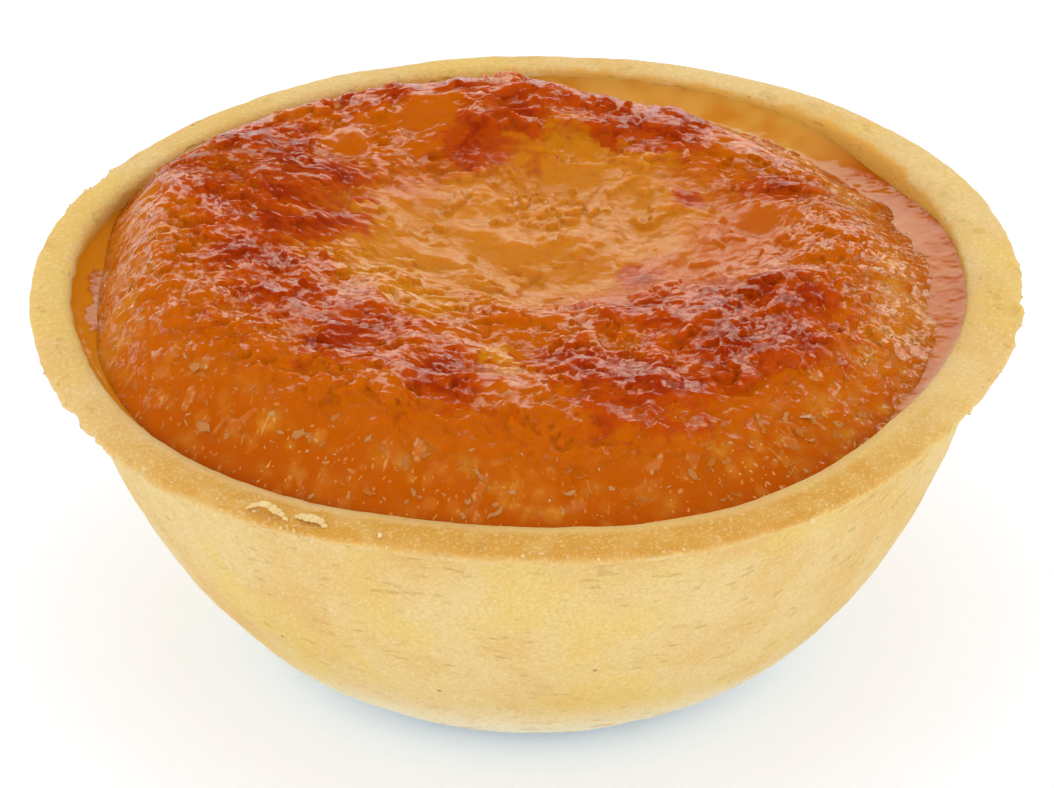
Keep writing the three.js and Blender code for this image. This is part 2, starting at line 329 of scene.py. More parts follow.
shortcrust = blank("shortcrust")
tree = shortcrust.node_tree
place = put("TexCoord", {}, output=3)
level = put("Mapping", {"Vector": place, "Scale": (1, 1, 3.2)})
blotches = mottle(place, 130)
yellowing = mottle(place, 95)
freckles = mottle(place, 900)
sand = mottle(place, 3200, 2.0)
pitting = mottle(level, 520)
tan_drift = mottle(place, 420, 4.0)
# The pits are dents in the grain, and are painted darker as well: painted shade in them.
pits_and_shade = times(eased(pitting, 0.28, 0.4, 1.0, 0.0), eased(blotches, 0.36, 0.5))
soak_reach = plus(tint("soaked"), eased(tan_drift, 0.3, 0.7, -0.3, 0.3))
bright_crumbs = sprinkled(place, 900, 0.26, 0.96)
dark_specks = sprinkled(place, 420, 0.11, 0.92)
crumb_colour = layered((0.775, 0.56, 0.24), (
    (eased(blotches, 0.4, 0.68), (0.745, 0.47, 0.155)),
    (eased(yellowing, 0.46, 0.64, 0, 0.65), (0.775, 0.54, 0.135)),
    # painted light: paler towards the foot of the wall
    (tint("painted_light_low"), (0.95, 0.89, 0.66)),
    (times(tint("toasted"), eased(tan_drift, 0.3, 0.66, 0.7, 1.1)), (0.64, 0.31, 0.042)),
    (eased(sand, 0.5, 0.7, 0, 0.34), (0.88, 0.71, 0.38)),
    (eased(sand, 0.3, 0.48, 0.42, 0), (0.68, 0.44, 0.12)),
    (eased(freckles, 0.58, 0.74, 0, 0.35), (0.70, 0.43, 0.12)),
    # painted shade in the pits
    (times(pits_and_shade, 0.5), (0.63, 0.38, 0.09)),
    # painted shade along the rim's inner edge, strongest in front
    (times(tint("crest"), 0.5), (0.58, 0.30, 0.085)),
    (eased(soak_reach, 0.15, 0.85), (0.74, 0.385, 0.07)),
    (tint("steeped"), (0.76, 0.31, 0.014)),
    (times(bright_crumbs, 0.15), (0.93, 0.82, 0.55)),
    (times(dark_specks, 0.8), (0.34, 0.19, 0.05)),
))
grain = plus(times(sand, 0.6), times(freckles, 0.7))
grain = sums("SUBTRACT", grain, times(pits_and_shade, 0.65))
grain = plus(grain, times(bright_crumbs, 0.2))
covered(pastry, shortcrust, {
    "Base Color": crumb_colour,
    "Roughness": 0.85,
    "Specular IOR Level": 0.2,
    "Subsurface Weight": 0.25,
    "Subsurface Radius": (1.0, 0.6, 0.25),
    "Subsurface Scale": 0.0012,
    "Normal": put("Bump", {"Strength": 0.7, "Distance": 0.00026, "Height": grain}),
})
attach(pastry, "root")
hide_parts("pastry_shell")

# Orange filling
# A domed mass of orange pulp, baked in syrup until it set: a clear, wet orange jelly that holds sacs of
# fruit, browned where the crests caught the heat, golden where the middle sank.
SYRUP_LEVEL = SHELL_HEIGHT - 2
FOOT_CENTRE = (-0.6, 0.1)
FOOT_RADIUS = 31.9
# Bulges of the foot: bearing, size, spread.
FOOT_BULGES = ((150, 3.4, 0.34), (182, 0.4, 0.3), (212, 2.8, 0.42), (255, 1.4, 0.4), (292, 3.8, 0.5))
TOP_CENTRE = (-4.05, 2.2)
TOP_RADIUS = 24
TOP_HEIGHT = 6
TOP_TILT = 1.25
TOP_TILT_ANGLE = math.radians(230)
SIDE_ROUNDING = 1.6
SUNKEN_CENTRE = (1.85, 5.4)
SUNKEN_RADII = (20, 14.5)
SUNKEN_DEPTH = 2.8
SUNKEN_FLOOR = 0.3
SUNKEN_BRINK = 1.2
CRAG_SIZES = (7.5, 3.8)
CRAG_HEIGHTS = (0.9, 0.5)
CRAG_SETTING = 4.5
PULP_EDGE_HEIGHT = SYRUP_LEVEL - 2
PULP_RINGS = 172
# Patches: where their middles lie, how far they reach.
BROWNED_PATCHES = (
    (-28.9, 13.3, 2.0), (-26.9, 11.8, 2.0), (-25.4, 7.8, 2.0), (-23.4, 6.3, 2.0), (-21.4, 16.3, 2.5),
    (-23.9, 18.3, 2.0), (-17.4, 16.3, 2.5), (-18.4, 12.8, 2.5), (-15.4, 11.3, 2.0), (-18.9, 7.8, 2.0),
    (-14.9, 5.3, 2.0), (-16.9, 3.8, 2.0), (-20.9, 3.3, 2.0), (-22.4, -1.2, 2.5), (-19.9, -3.2, 2.5),
    (-20.4, -8.2, 2.0), (-17.4, -8.2, 2.5), (-11.9, -12.2, 2.5), (-14.9, -12.2, 2.5), (-15.9, -15.7, 2.0),
    (-13.4, -15.2, 2.0), (-7.4, -19.7, 2.5), (-5.9, -21.7, 2.0), (1.6, -16.7, 2.0), (4.1, -19.2, 2.5),
    (7.1, -19.2, 2.5), (6.1, -23.7, 2.0), (9.1, -20.2, 2.5), (8.1, 0.3, 1.5), (8.6, -8.7, 3.0),
    (14.6, -6.2, 2.5), (18.1, -5.2, 2.5), (20.6, -6.2, 2.5), (15.6, -13.2, 3.0), (13.6, -15.7, 2.5),
    (12.1, -19.2, 2.5), (14.1, -9.7, 2.5), (18.6, -10.7, 2.5), (20.6, -11.7, 2.0), (5.6, 25.3, 2.0),
    (7.1, 21.3, 2.0), (9.1, 21.8, 2.0), (12.1, 21.8, 2.0), (11.1, 19.3, 2.0), (18.6, 12.3, 2.0),
    (12.1, 11.8, 1.2), (-4.4, 20.3, 2.5), (-0.9, 22.8, 2.0), (1.6, 24.3, 2.0), (-10.4, 24.8, 2.0),
    (-6.4, 25.8, 2.0), (-4.9, 17.3, 2.0), (-14.4, 23.8, 2.0),
)
GOLDEN_PATCHES = (
    (-4.4, 2.8, 11), (3.6, 8.8, 9), (4.5, 14.5, 7), (-8.4, -7.2, 3.5), (-2.4, -18.2, 3), (-11.4, 2.8, 4),
)
GEL_POCKETS = ((-14.4, 16.8, 2.4), (-28.9, 10.1, 2.0), (18.1, 8.8, 2.4), (-7.4, 21.8, 2.2))
# Leaning skins: where their middle lies, how far they reach across and along, how much they rise.
SHINGLES = (
    (3, 9, 10, 5, -0.4), (-3, -6.5, 10, 3.5, 0.5), (-18, 6, 7, 5, 0.7),
    (-4, 21, 9, 3.5, 0.4), (-8, 0, 6, 5, 0.7), (13, -8, 9, 6, -0.3),
)
SLANT_STEP = 0.3
BOW_HEIGHT = 7.2
BOW_WIDTH = 12
SHEETS = 3
SAC_TRIES = 1500
CLOUD_TRIES = 420
HEM_INSET = 0.3


def corner_height(i, j):
    drawn = np.sin(i * 127.1 + j * 311.7) * 43758.5453
    return drawn - np.floor(drawn)


def rolling(x, y):
    i, j = np.floor(x), np.floor(y)
    u, v = ease(x - i, 0, 1), ease(y - j, 0, 1)
    near = corner_height(i, j) * (1 - u) + corner_height(i + 1, j) * u
    far = corner_height(i, j + 1) * (1 - u) + corner_height(i + 1, j + 1) * u
    return near * (1 - v) + far * v


def crags(x, y):
    total = 0
    for k, (size, height) in enumerate(zip(CRAG_SIZES, CRAG_HEIGHTS)):
        raised = 1 - np.abs(2 * rolling(x / size + 31 * k, y / size - 17 * k) - 1)
        total = total + height * (raised - 0.5)
    return total


def round_hollow(radius, angle):
    return radius * np.cos(angle) + HOLLOW_MIDDLE[0], radius * np.sin(angle) + HOLLOW_MIDDLE[1]


def from_top(x, y):
    away_x, away_y = x - TOP_CENTRE[0], y - TOP_CENTRE[1]
    return np.hypot(away_x, away_y), np.arctan2(away_y, away_x)


def foot_reach(angle):
    offset = np.subtract(TOP_CENTRE, FOOT_CENTRE)
    along = offset[0] * np.cos(angle) + offset[1] * np.sin(angle)
    reach = -along + np.sqrt(along**2 - offset @ offset + FOOT_RADIUS**2)
    for degrees, size, spread in FOOT_BULGES:
        away = (angle - math.radians(degrees) + math.pi) % (2 * math.pi) - math.pi
        reach = reach + size * bell(away, 0, spread)
    return reach


def from_sunken(x, y):
    return np.hypot((x - SUNKEN_CENTRE[0]) / SUNKEN_RADII[0], (y - SUNKEN_CENTRE[1]) / SUNKEN_RADII[1])


def pulp_height(x, y):
    distance, angle = from_top(x, y)
    foot = foot_reach(angle)
    climb = (foot - distance) / (foot - TOP_RADIUS)
    rounded = np.where(climb > 0, 1 - (1 - np.clip(climb, 0, 1)) ** SIDE_ROUNDING, SIDE_ROUNDING * climb)
    tilt = TOP_TILT * np.cos(angle - TOP_TILT_ANGLE) * np.minimum(distance / TOP_RADIUS, 1)
    dome = (TOP_HEIGHT + tilt) * rounded
    sunken = SUNKEN_DEPTH * (1 - ease(from_sunken(x, y), SUNKEN_FLOOR, SUNKEN_BRINK))
    craggy = ease(dome, TOP_HEIGHT - CRAG_SETTING, TOP_HEIGHT)
    return SYRUP_LEVEL + dome - sunken + craggy * crags(x, y)


def hollow_wall(angle, height):
    radius = np.interp(height, inside_curve[:, 1], inside_curve[:, 0])
    x, y = round_hollow(radius, angle)
    return pressed_unevenly(np.stack((x, y, height + np.zeros_like(angle)), axis=-1))


def hollow_reach(angle, height):
    wall = hollow_wall(angle, 2 * height - hollow_wall(angle, height)[..., 2])
    return np.hypot(wall[..., 0] - HOLLOW_MIDDLE[0], wall[..., 1] - HOLLOW_MIDDLE[1])


# In front and at the back left the jelly stands high against the wall and reaches right to it.
def brimming(angle):
    back_left = bell(angle % (2 * math.pi), math.radians(152), 0.25)
    return np.maximum(ease(-np.sin(angle), 0.08, 0.35), back_left)


# On the right and the left the syrup has crept up to the rim.
def syrup_rise(angle):
    right = ease(np.cos(angle + 0.1), 0.7, 0.97)
    return 0.8 * right + 0.9 * ease(-np.cos(angle - 0.05), 0.8, 0.97)


def syrup_at(x, y):
    return SYRUP_LEVEL + syrup_rise(np.arctan2(y, x))


def pulp_extent(angle):
    low = hollow_reach(angle, PULP_EDGE_HEIGHT) - 0.25
    high = hollow_reach(angle, SYRUP_LEVEL + 0.9) + 0.3
    return low + (high - low) * brimming(angle)


# The top is a disc of rings, each with six points more than the last, so its triangles are all alike.
ring_of = np.repeat(np.arange(1, PULP_RINGS + 1), 6 * np.arange(1, PULP_RINGS + 1))
first_of = 3 * ring_of * (ring_of - 1)
pulp_turn = (np.arange(len(ring_of)) - first_of) * 2 * math.pi / (6 * ring_of)
pulp_turn = np.concatenate(([0], pulp_turn))
ring_of = np.concatenate(([0], ring_of))
pulp_reach = pulp_extent(pulp_turn)
pulp_radius = pulp_reach * ring_of / PULP_RINGS
pulp_x, pulp_y = round_hollow(pulp_radius, pulp_turn)
spare_room = pulp_reach - pulp_radius
pulp_edge = PULP_EDGE_HEIGHT + 0.5 + (SYRUP_LEVEL + 0.4 - PULP_EDGE_HEIGHT) * brimming(pulp_turn)


def pulp_surface(x, y):
    shoulder = pulp_edge + 5.5 * np.sqrt(np.maximum(spare_room, 0))
    above = pulp_height(x, y) - syrup_at(x, y)
    thinned = 0.5 * (above + np.sqrt(above**2 + 0.3)) - 0.12 - 0.8 * ease(-above, 0.5, 1.5)
    return np.clip(thinned + syrup_at(x, y), PULP_EDGE_HEIGHT, shoulder)


def pulp_rise(step_x, step_y):
    ahead = pulp_surface(pulp_x + step_x, pulp_y + step_y)
    return (ahead - pulp_surface(pulp_x - step_x, pulp_y - step_y)) / (2 * SLANT_STEP)


pulp_z = pulp_surface(pulp_x, pulp_y)
pulp_out = np.stack((-pulp_rise(SLANT_STEP, 0), -pulp_rise(0, SLANT_STEP), np.ones_like(pulp_z)), axis=-1)
pulp_out /= np.linalg.norm(pulp_out, axis=-1, keepdims=True)
flat = np.stack((pulp_x, pulp_y, np.zeros_like(pulp_x)), axis=-1)
from_middle, bearing = from_top(pulp_x, pulp_y)


def patches(table, x, y, widen=1.0):
    bare = np.ones_like(x)
    for middle_x, middle_y, reach in table:
        away = ((x - middle_x) ** 2 + (y - middle_y) ** 2) / (widen * reach) ** 2
        bare = bare * (1 - np.exp(-away))
    return 1 - bare


def zones(x, y):
    distance, angle = from_top(x, y)
    slope = ease(distance / foot_reach(angle), 0.78, 0.9)
    front = ease(-np.sin(angle), 0.45, 0.8)
    return slope, front, 1 - ease(from_sunken(x, y), 0.65, 1.05)


# The jelly's surface lies in torn sheets over each other. A sheet shows where its own drawn-out pattern is
# above a threshold, and its torn edge curls up a little.
slope, front, sunk = zones(pulp_x, pulp_y)
wander = 1.1 * swell(flat, 2.4, 51) + 0.6 * swell(flat, 1.1, 52)
gel = patches(GEL_POCKETS, pulp_x + wander, pulp_y + 0.6 * wander)
bent = 1 - 1.8 * ease(pulp_y, 8, 18)
bow_reach = np.sqrt(1 + (pulp_x / BOW_WIDTH) ** 2)
bow = BOW_HEIGHT * bent * (bow_reach - 1)
bow_rise = BOW_HEIGHT * bent * pulp_x / BOW_WIDTH**2 / bow_reach
veer = np.where(slope > 0.5, bearing, np.arctan(bow_rise)) + (0.4 + 0.9 * slope) * swell(flat, 4.5, 10)
grain_way = np.stack((np.cos(veer), np.sin(veer), np.zeros_like(veer)), axis=-1)


def drawn_out(size, stretch, seed):
    steps = np.linspace(-1, 1, 5)
    return sum(swell(flat + step * stretch * grain_way, size, seed) for step in steps) / 3.4


def torn(size, stretch, seed):
    pattern = drawn_out(size, stretch, seed) + 0.6 * drawn_out(0.5 * size, 0.6 * stretch, seed + 1)
    return pattern + 0.45 * swell(flat, 0.28 * size, seed + 2) + 0.25 * swell(flat, 0.16 * size, seed + 3)


def crested(pattern):
    return np.maximum(1 - 2.4 * np.abs(pattern), 0)


smooth_share = np.maximum(slope * front, gel)
level_out = 1.05 * bell(pulp_y, 7, 6) - 0.6 * bell(pulp_y, 18, 5)
heaved = 0.9 * bell(pulp_x, -19.5, 6) * bell(pulp_y, 10, 6)
heaved = heaved + 0.7 * bell(pulp_x, -3, 6) * bell(pulp_y, 26, 6)
heaved = heaved + level_out * bell(pulp_x, 2, 10)
roughened = (1 - 0.88 * smooth_share) * (1 - 0.85 * sunk) * (1 - 0.88 * slope)
lying = 0.2 * crested(drawn_out(2.6, 1.6, 11)) + 0.14 * crested(swell(flat, 1.9, 14))
lying = lying + 0.16 * crested(drawn_out(1.1, 0.9, 12)) + 0.07 * crested(drawn_out(0.6, 0.5, 13))
lying = (lying - 0.17) * roughened + 0.05 * swell(flat, 3.0, 15) + heaved
shore_band = ease(from_middle / foot_reach(bearing), 0.84, 0.94) * (1 - front)
sheet_level = np.zeros_like(lying)
for number in range(SHEETS):
    pattern = torn(2.6, 1.6, 100 + 10 * number)
    above = pattern - (0.25 * number + 0.1) - 1.6 * smooth_share - 0.7 * sunk - 0.5 * slope
    lift = heaved + 0.1 + 0.1 * number + 0.16 * swell(flat, 1.8, 105 + 10 * number)
    body = lift + 0.07 * crested(drawn_out(0.6, 0.7, 106 + 10 * number))
    wins = (above > 0) & (body > lying)
    lying = np.where(wins, body, lying)
    sheet_level = np.where(wins, number + 1, sheet_level)
for middle_x, middle_y, reach in GEL_POCKETS:
    away = (pulp_x + wander - middle_x) ** 2 + (pulp_y + 0.6 * wander - middle_y) ** 2
    pool = np.exp(-((away / reach**2) ** 2))
    lying = lying + 0.75 * pool * (0.3 * (pulp_y - middle_y) - 0.15 - lying)

# Whole sacs lie on the left and right slopes, plump and with pale walls.
draw = np.random.default_rng(41)
sac_walls = np.zeros_like(lying)
for number in range(SAC_TRIES):
    radius = draw.uniform(20, 33)
    x, y = round_hollow(radius, draw.random() * 2 * math.pi)
    on_slope, on_front, _ = zones(x, y)
    if draw.random() > on_slope * (1 - 0.85 * on_front):
        continue
    half_length = draw.uniform(0.5, 1.4)
    half_width = draw.uniform(0.25, 0.6)
    plump = draw.uniform(0.1, 0.27)
    pale = draw.uniform(0.1, 1.0)
    heading = from_top(x, y)[1] + draw.normal(0, 1.1)
    near = np.flatnonzero((np.abs(pulp_x - x) < half_length) & (np.abs(pulp_y - y) < half_length))
    along = (pulp_x[near] - x) * math.cos(heading) + (pulp_y[near] - y) * math.sin(heading)
    aside = (pulp_y[near] - y) * math.cos(heading) - (pulp_x[near] - x) * math.sin(heading)
    out = np.hypot(along / half_length, aside / half_width)
    body = plump * np.sqrt(np.maximum(1 - out**2, 0)) - 0.08
    wins = (out < 1) & (body > lying[near])
    chosen = near[wins]
    lying[chosen] = body[wins]
    sac_walls[chosen] = pale * (0.22 + 0.78 * ease(out[wins], 0.76, 0.92))

lying = lying * (1 - 0.6 * shore_band) + 0.3 * shore_band * swell(flat, 2.6, 61)
over_syrup = pulp_height(pulp_x, pulp_y) - syrup_at(pulp_x, pulp_y)
settle = ease(spare_room, 0.2, 1.2) * ease(over_syrup, -0.8, -0.1)
top_points = np.stack((pulp_x, pulp_y, pulp_z), axis=-1) + pulp_out * (lying * settle)[:, None]
against = inside_curve[inside_curve[:, 1] < PULP_EDGE_HEIGHT - 0.6]
against = spaced(against, 6.0)[::-1]
hem_count = 6 * PULP_RINGS
hem_turn = np.arange(hem_count) * 2 * math.pi / hem_count
hem_rings = []
for radius, height in against:
    x, y = round_hollow(radius - HEM_INSET, hem_turn)
    hem_rings.append(pressed_unevenly(np.stack((x, y, np.full_like(x, height + HEM_INSET)), axis=-1)))
pulp_points = np.vstack((top_points, *hem_rings, ((*HOLLOW_MIDDLE, FLOOR_THICKNESS + HEM_INSET),)))

pulp_faces = []
for ring in range(1, PULP_RINGS + 1):
    outer_start = 1 + 3 * ring * (ring - 1)
    inner_start = 1 + 3 * (ring - 1) * (ring - 2)
    side = np.repeat(np.arange(6), ring)
    step = np.tile(np.arange(ring), 6)
    outer = outer_start + (side * ring + step) % (6 * ring)
    outer_next = outer_start + (side * ring + step + 1) % (6 * ring)
    if ring == 1:
        inner = np.zeros(6, int)
    else:
        inner = inner_start + (side * (ring - 1) + step) % (6 * (ring - 1))
    pulp_faces += joined(outer, outer_next, inner)
    if ring > 1:
        gap = step < ring - 1
        inner_next = inner_start + (side * (ring - 1) + step + 1) % (6 * (ring - 1))
        pulp_faces += joined(outer_next[gap], inner_next[gap], inner[gap])
hem_here = np.arange(hem_count)
hem_ahead = np.roll(hem_here, -1)
upper = len(top_points) - hem_count
for ring in range(len(hem_rings)):
    lower = len(top_points) + ring * hem_count
    pulp_faces += joined(upper + hem_ahead, upper + hem_here, lower + hem_here, lower + hem_ahead)
    upper = lower
bottom = len(pulp_points) - 1
pulp_faces += [(upper + int(b), upper + int(a), bottom) for a, b in zip(hem_here, hem_ahead)]
pulp = skinned("orange_pulp_mass", pulp_points, pulp_faces)

wide_browning = patches(BROWNED_PATCHES, pulp_x, pulp_y, 1.5)
close_browning = patches(BROWNED_PATCHES, pulp_x, pulp_y, 0.75)
browned = (0.62 * wide_browning + 0.38 * close_browning) * (1 - 0.9 * gel)
browned = browned + 0.15 * swell(flat, 1.8, 21) + 0.12 * drawn_out(0.8, 0.9, 23) + 0.04 * (sheet_level - 1)
golden = patches(GOLDEN_PATCHES, pulp_x, pulp_y) + 0.2 * swell(flat, 2.5, 22) + 0.4 * slope * (1 - front)
golden = np.clip(golden, 0, 1)

# Pale bits of fruit hang in the clear jelly of the front slope and show through it as soft clouds.
clouds = np.zeros_like(lying)
for number in range(CLOUD_TRIES):
    angle = draw.uniform(math.radians(170), math.radians(370))
    x, y = round_hollow(draw.uniform(22, 33.5), angle)
    reach = draw.uniform(0.25, 0.9)
    near = np.flatnonzero((np.abs(pulp_x - x) < 2.5 * reach) & (np.abs(pulp_y - y) < 2.5 * reach))
    if len(near) == 0:
        continue
    level_away = np.hypot(pulp_x[near] - x, pulp_y[near] - y)
    climbed = pulp_z[near] - pulp_z[near][np.argmin(level_away)]
    away = np.hypot(level_away, climbed) / reach
    clouds[near] += draw.uniform(0.15, 0.7) * np.exp(-(away**2))
clouds = np.clip(clouds, 0, 1) * slope
foot_shade = ease(from_middle / foot_reach(bearing), 0.88, 1.02)
hidden = np.zeros(len(pulp_points) - len(top_points))

# The skins lie along the ridge, so their pattern follows it round: bowed one way in front, the other behind.
aside = np.abs(pulp_x + 1) - 19
shortened = 0.3 * np.sign(pulp_x) * (aside + np.sqrt(aside**2 + 4))
follow_x = pulp_x / 2.0 + shortened + 0.22 * swell(flat, 2.2, 31) + 0.12 * swell(flat, 0.8, 32)
follow_y = (pulp_y - bow) / 1.3 + 0.3 * swell(flat, 2.2, 33) + 0.25 * swell(flat, 0.8, 34)
strand = np.stack((follow_x, follow_y, np.zeros_like(follow_x)), axis=-1)
ruffled = (1 - 0.85 * slope * front) * (1 - 0.35 * slope) * (1 - 0.8 * gel) * (1 - 0.65 * sunk)

# Like shingles, the skins rise towards one side: to the front in the middle of the hollow, to the back
# round it.
shingled = np.zeros_like(pulp_x)
for middle_x, middle_y, reach_x, reach_y, rise in SHINGLES:
    away = ((pulp_x - middle_x) / reach_x) ** 2 + ((pulp_y - middle_y) / reach_y) ** 2
    shingled = shingled + rise * np.exp(-(away**2))
specked = slope * (0.3 + 0.7 * front) * np.clip(0.7 + 0.5 * swell(flat, 2.8, 39), 0, 1)
pulp_tints = {
    "browned": browned, "golden": golden, "clouds": clouds, "foot_shade": foot_shade, "sac_walls": sac_walls,
    "ruffled": ruffled, "shingled": shingled, "clear": slope * front, "soft": sunk, "specked": specked,
}
for name, values in pulp_tints.items():
    tinted(pulp, name, np.concatenate((values, hidden)))

# Slivers on the slopes point down them. Their pattern is measured round the dome, from its back.
round_dome = ((bearing - math.pi / 2) % (2 * math.pi)) * 28 / 0.75 + 0.6 * swell(flat, 1.1, 37)
down_dome = from_middle / 1.1 + 0.6 * swell(flat, 1.1, 38)
fall = np.stack((round_dome, down_dome, np.zeros_like(bearing)), axis=-1)
for name, way in (("strand", strand), ("fall", fall)):
    layer = pulp.data.attributes.new(name, "FLOAT_VECTOR", "POINT")
    way = np.vstack((way, np.zeros((len(hidden), 3)))).astype(np.float32)
    layer.data.foreach_set("vector", way.ravel())


def vectors(kind, *parts, output=0):
    return put("VectorMath", dict(enumerate(parts)), output, operation=kind)


baked_pulp = blank("baked_orange_pulp")
tree = baked_pulp.node_tree
place = put("TexCoord", {}, output=3)
fibres = put("Attribute", {}, output=1, attribute_name="strand")
fallen = put("Attribute", {}, output=1, attribute_name="fall")
cloudy = mottle(place, 420)
flecked = mottle(place, 1300)
ragged = put("TexNoise", {"Vector": place, "Scale": 1300, "Detail": 1.5}, output=1)
ragged = vectors("MULTIPLY_ADD", ragged, (0.5, 0.5, 0.0), (-0.25, -0.25, 0.0))
rising = put("CombineXYZ", {"Y": tint("shingled")})


# Each flake is a small flat plate that leans its own way. A draw of its own also sets its tone.
def flakes(fineness):
    spread = vectors("MULTIPLY", fibres, (fineness, fineness, 0.0))
    spread = vectors("ADD", spread, ragged)
    cells = put("TexVoronoi", {"Vector": spread, "Scale": 1.0}, voronoi_dimensions="2D").node
    drawn = cells.outputs["Color"]
    offset = vectors("SUBTRACT", spread, cells.outputs["Position"])
    lean = vectors("MULTIPLY_ADD", drawn, (2.0, 2.0, 0.0), (-1.0, -1.0, 0.0))
    lean = vectors("ADD", lean, rising)
    tilted = vectors("DOT_PRODUCT", lean, offset, output=1)
    return tilted, put("SeparateColor", {"Color": drawn}, output=2)


skin_lean, skin_draw = flakes(1.0)
scrap_lean, scrap_draw = flakes(2.3)
golden_share = plus(tint("golden"), times(cloudy, 0.4))
browned_share = plus(tint("browned"), eased(flecked, 0.3, 0.7, -0.1, 0.1))
flake_tone = plus(eased(skin_draw, 0, 1, -0.14, 0.14), eased(scrap_draw, 0, 1, -0.1, 0.1))
browned_share = plus(browned_share, times(flake_tone, tint("ruffled")))
warp = vectors("ADD", place, vectors("MULTIPLY", ragged, (0.0016, 0.0016, 0.0)))
chunk_share = times(sprinkled(warp, 520, 0.34, 0.55, "2D"), tint("specked"))
slivers = times(sprinkled(fallen, 1.0, 0.2, 0.62, "2D"), eased(cloudy, 0.4, 0.6, 0.3, 1.0))
specks = sums("MINIMUM", plus(sprinkled(warp, 1250, 0.15, 0.5, "2D"), slivers), 1.0)
pulp_colour = layered((0.565, 0.115, 0.0002), (
    (eased(golden_share, 0.45, 1.0), (0.635, 0.205, 0.004)),
    (eased(browned_share, 0.15, 0.55), (0.50, 0.064, 0.0003)),
    (eased(browned_share, 0.6, 1.1), (0.36, 0.027, 0.0003)),
    (times(tint("clear"), 0.8), (0.505, 0.094, 0.0002)),
    (times(tint("clouds"), eased(flecked, 0.35, 0.6, 0.4, 1.0)), (0.66, 0.26, 0.02)),
    (times(tint("sac_walls"), eased(flecked, 0.35, 0.6, 0.5, 1.0)), (0.74, 0.42, 0.14)),
    (times(tint("foot_shade"), 0.5), (0.46, 0.075, 0.0005)),
    (times(chunk_share, 0.4), (0.66, 0.27, 0.03)),
    (times(specks, times(tint("specked"), 0.9)), (0.70, 0.35, 0.09)),
))
wrinkles = times(plus(skin_lean, times(scrap_lean, 0.36)), tint("ruffled"))
wrinkles = plus(wrinkles, times(flecked, 0.16))
covered(pulp, baked_pulp, {
    "Base Color": pulp_colour,
    "Roughness": plus(eased(flecked, 0.3, 0.7, 0.07, 0.18), times(tint("soft"), 0.17)),
    "IOR": 1.45,
    "Subsurface Weight": 0.5,
    "Subsurface Radius": (1.0, 0.35, 0.1),
    "Subsurface Scale": 0.002,
    "Normal": put("Bump", {"Strength": 1.0, "Distance": 0.00042, "Height": wrinkles}),
})
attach(pulp, "root")
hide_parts("orange_filling")

# Pale threads, chips and flecks
# Bits of white pith and torn sac walls: short flecks and flat chips caught in the jelly of the slopes, and
# thin curved threads that outline the sacs. They are stuck into the surface and just stand out of it.
FLECK_TRIES = 1900
THREAD_TRIES = 700
CHIP_TRIES = 150
BIT_STATIONS = 5
BIT_ARCH = 0.02
BIT_THICKNESS = 0.06


def top_spot(x, y):
    angle = np.arctan2(y - HOLLOW_MIDDLE[1], x - HOLLOW_MIDDLE[0]) % (2 * math.pi)
    reach = pulp_extent(angle)
    share = np.hypot(x - HOLLOW_MIDDLE[0], y - HOLLOW_MIDDLE[1]) / reach
    ring = np.clip(np.round(share * PULP_RINGS), 1, PULP_RINGS).astype(int)
    step = np.round(angle / (2 * math.pi) * 6 * ring).astype(int) % (6 * ring)
    return 1 + 3 * ring * (ring - 1) + step


draw = np.random.default_rng(19)


# A bit stays where a draw falls under its chance, which the slope and its front set.
def scattered(radius, angle, least, at_sides, in_front):
    x, y = round_hollow(radius, angle)
    slope, front, _ = zones(x, y)
    kept = draw.random(len(x)) < least + (1 - least) * slope * (at_sides + in_front * front)
    return x[kept], y[kept], np.count_nonzero(kept)


fleck_radius = draw.uniform(20, 33.4, FLECK_TRIES)
fleck_angle = draw.random(FLECK_TRIES) * 2 * math.pi
fleck_x, fleck_y, fleck_count = scattered(fleck_radius, fleck_angle, 0.02, 0.35, 0.65)
tiny = draw.random(fleck_count) < 0.68
fleck_length = np.where(tiny, draw.uniform(0.05, 0.17, fleck_count), draw.uniform(0.15, 0.4, fleck_count))
fleck_width = fleck_length * draw.uniform(0.3, 0.8, fleck_count)
fleck_heading = from_top(fleck_x, fleck_y)[1] + draw.normal(0, 1.2, fleck_count)

thread_radius = 33 * np.sqrt(draw.random(THREAD_TRIES))
thread_angle = draw.random(THREAD_TRIES) * 2 * math.pi
thread_x, thread_y, thread_count = scattered(thread_radius, thread_angle, 0, 0.8, -0.7)
thread_length = draw.uniform(0.25, 0.8, thread_count)
thread_width = draw.uniform(0.03, 0.06, thread_count)
thread_heading = from_top(thread_x, thread_y)[1] + draw.normal(0, 1.0, thread_count)

chip_radius = draw.uniform(24, 33, CHIP_TRIES)
chip_angle = draw.uniform(math.radians(175), math.radians(365), CHIP_TRIES)
chip_x, chip_y, chip_count = scattered(chip_radius, chip_angle, 0, 1, 0)
chip_length = draw.uniform(0.25, 0.7, chip_count)
chip_width = chip_length * draw.uniform(0.35, 0.75, chip_count)
chip_heading = draw.uniform(0, 2 * math.pi, chip_count)

